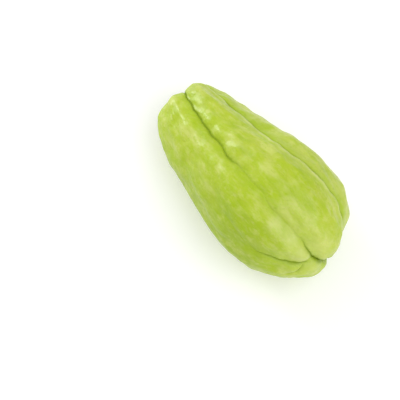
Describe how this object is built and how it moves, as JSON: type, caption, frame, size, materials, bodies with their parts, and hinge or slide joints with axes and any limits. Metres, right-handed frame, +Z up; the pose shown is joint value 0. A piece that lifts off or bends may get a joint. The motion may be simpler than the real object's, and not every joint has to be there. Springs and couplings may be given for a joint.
{
  "type": "chayote squash",
  "caption": "Pear-shaped pale green squash with long soft furrows and a puckered slit across its broad end, lying on its side.",
  "frame": {"origin": "on the surface the fruit lies on, under the middle of its bounding box", "axes": "+X along the fruit from its stem end to its blossom end, +Z up from the surface it lies on"},
  "size_m": [0.1404, 0.0792, 0.0692],
  "materials": {
    "rind": "satin"
  },
  "bodies": {
    "root": {"fruit": "rind"}
  },
  "joints": []
}
